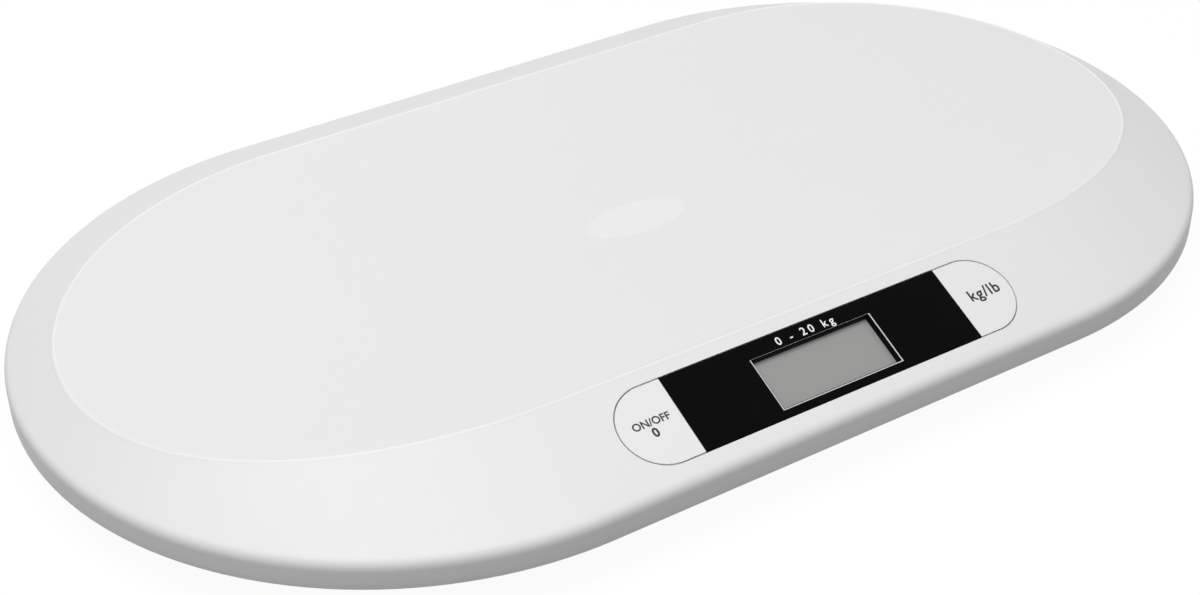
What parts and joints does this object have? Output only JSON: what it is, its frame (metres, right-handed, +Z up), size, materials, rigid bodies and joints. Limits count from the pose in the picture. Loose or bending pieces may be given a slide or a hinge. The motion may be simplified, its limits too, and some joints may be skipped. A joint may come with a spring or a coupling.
{
  "type": "baby weighing scale",
  "caption": "Low white baby scale with a dished tray, a sloping control panel with a display and two keys, on sprung rubber feet.",
  "frame": {"origin": "on the floor, under the middle of the casing", "axes": "+X along the casing to the right of the person who reads the display, +Y away from that person, +Z up"},
  "size_m": [0.55, 0.322, 0.0507],
  "materials": {
    "white_shell": "satin",
    "white_base": "fine texture",
    "key_white": "satin",
    "black_band": "satin",
    "lcd_glass": "polished",
    "lcd_back": "reflective backing",
    "holder_white": "moulded",
    "strip_rubber": "matte",
    "board": "solder mask",
    "epoxy": "glossy",
    "can": "satin",
    "steel": "zinc plated",
    "switch_case": "moulded",
    "plunger": "moulded",
    "battery": "plain sleeve",
    "contact": "nickel plated",
    "lead_black": "matte",
    "lead_red": "matte",
    "lead_white": "matte",
    "foot_rubber": "matte",
    "foot_plastic": "moulded",
    "cell_steel": "brushed"
  },
  "bodies": {
    "casing": {"base_plate": "white_base", "batteries": "battery", "battery_lead_left": "lead_black", "battery_lead_right": "lead_red", "board_screws": "steel", "capacitors": "can", "case_screws": "steel", "cell_holder_front_left": "holder_white", "cell_holder_front_right": "holder_white", "cell_holder_rear_left": "holder_white", "cell_holder_rear_right": "holder_white", "cell_lead_front_left": "lead_white", "cell_lead_front_right": "lead_white", "cell_lead_rear_left": "lead_white", "cell_lead_rear_right": "lead_white", "chip_blob": "epoxy", "circuit_board": "board", "display_bezel": "black_band", "holder_screws": "steel", "lcd_front_glass": "lcd_glass", "lcd_holder": "holder_white", "lcd_rear_glass": "lcd_back", "load_cell_front_left": "cell_steel", "load_cell_front_right": "cell_steel", "load_cell_rear_left": "cell_steel", "load_cell_rear_right": "cell_steel", "plate_contacts": "contact", "platform_shell": "white_shell", "power_switch": "switch_case", "spring_contacts": "contact", "unit_switch": "switch_case", "zebra_strips": "strip_rubber"},
    "power_key": {"power_button": "key_white", "power_plunger": "plunger"},
    "unit_key": {"unit_button": "key_white", "unit_plunger": "plunger"},
    "cover": {"battery_cover": "white_base"},
    "foot_front_left": {"foot_cap_front_left": "foot_plastic", "foot_pad_front_left": "foot_rubber"},
    "foot_front_right": {"foot_cap_front_right": "foot_plastic", "foot_pad_front_right": "foot_rubber"},
    "foot_rear_left": {"foot_cap_rear_left": "foot_plastic", "foot_pad_rear_left": "foot_rubber"},
    "foot_rear_right": {"foot_cap_rear_right": "foot_plastic", "foot_pad_rear_right": "foot_rubber"}
  },
  "joints": [
    {"name": "power_key_press", "type": "slide", "parent": "casing", "child": "power_key", "axis": [0, 0.4006, -0.9163], "range_m": [0, 0.0005], "stiffness_N_per_m": 3200},
    {"name": "unit_key_press", "type": "slide", "parent": "casing", "child": "unit_key", "axis": [0, 0.4006, -0.9163], "range_m": [0, 0.0005], "stiffness_N_per_m": 3200},
    {"name": "cover_slide", "type": "slide", "parent": "casing", "child": "cover", "axis": [1, 0, 0], "range_m": [0, 0.005]},
    {"name": "foot_front_left_press", "type": "slide", "parent": "casing", "child": "foot_front_left", "axis": [0, 0, 1], "range_m": [0, 0.0003], "stiffness_N_per_m": 1000, "springref_m": -0.003},
    {"name": "foot_front_right_press", "type": "slide", "parent": "casing", "child": "foot_front_right", "axis": [0, 0, 1], "range_m": [0, 0.0003], "stiffness_N_per_m": 1000, "springref_m": -0.003},
    {"name": "foot_rear_left_press", "type": "slide", "parent": "casing", "child": "foot_rear_left", "axis": [0, 0, 1], "range_m": [0, 0.0003], "stiffness_N_per_m": 1000, "springref_m": -0.003},
    {"name": "foot_rear_right_press", "type": "slide", "parent": "casing", "child": "foot_rear_right", "axis": [0, 0, 1], "range_m": [0, 0.0003], "stiffness_N_per_m": 1000, "springref_m": -0.003}
  ]
}
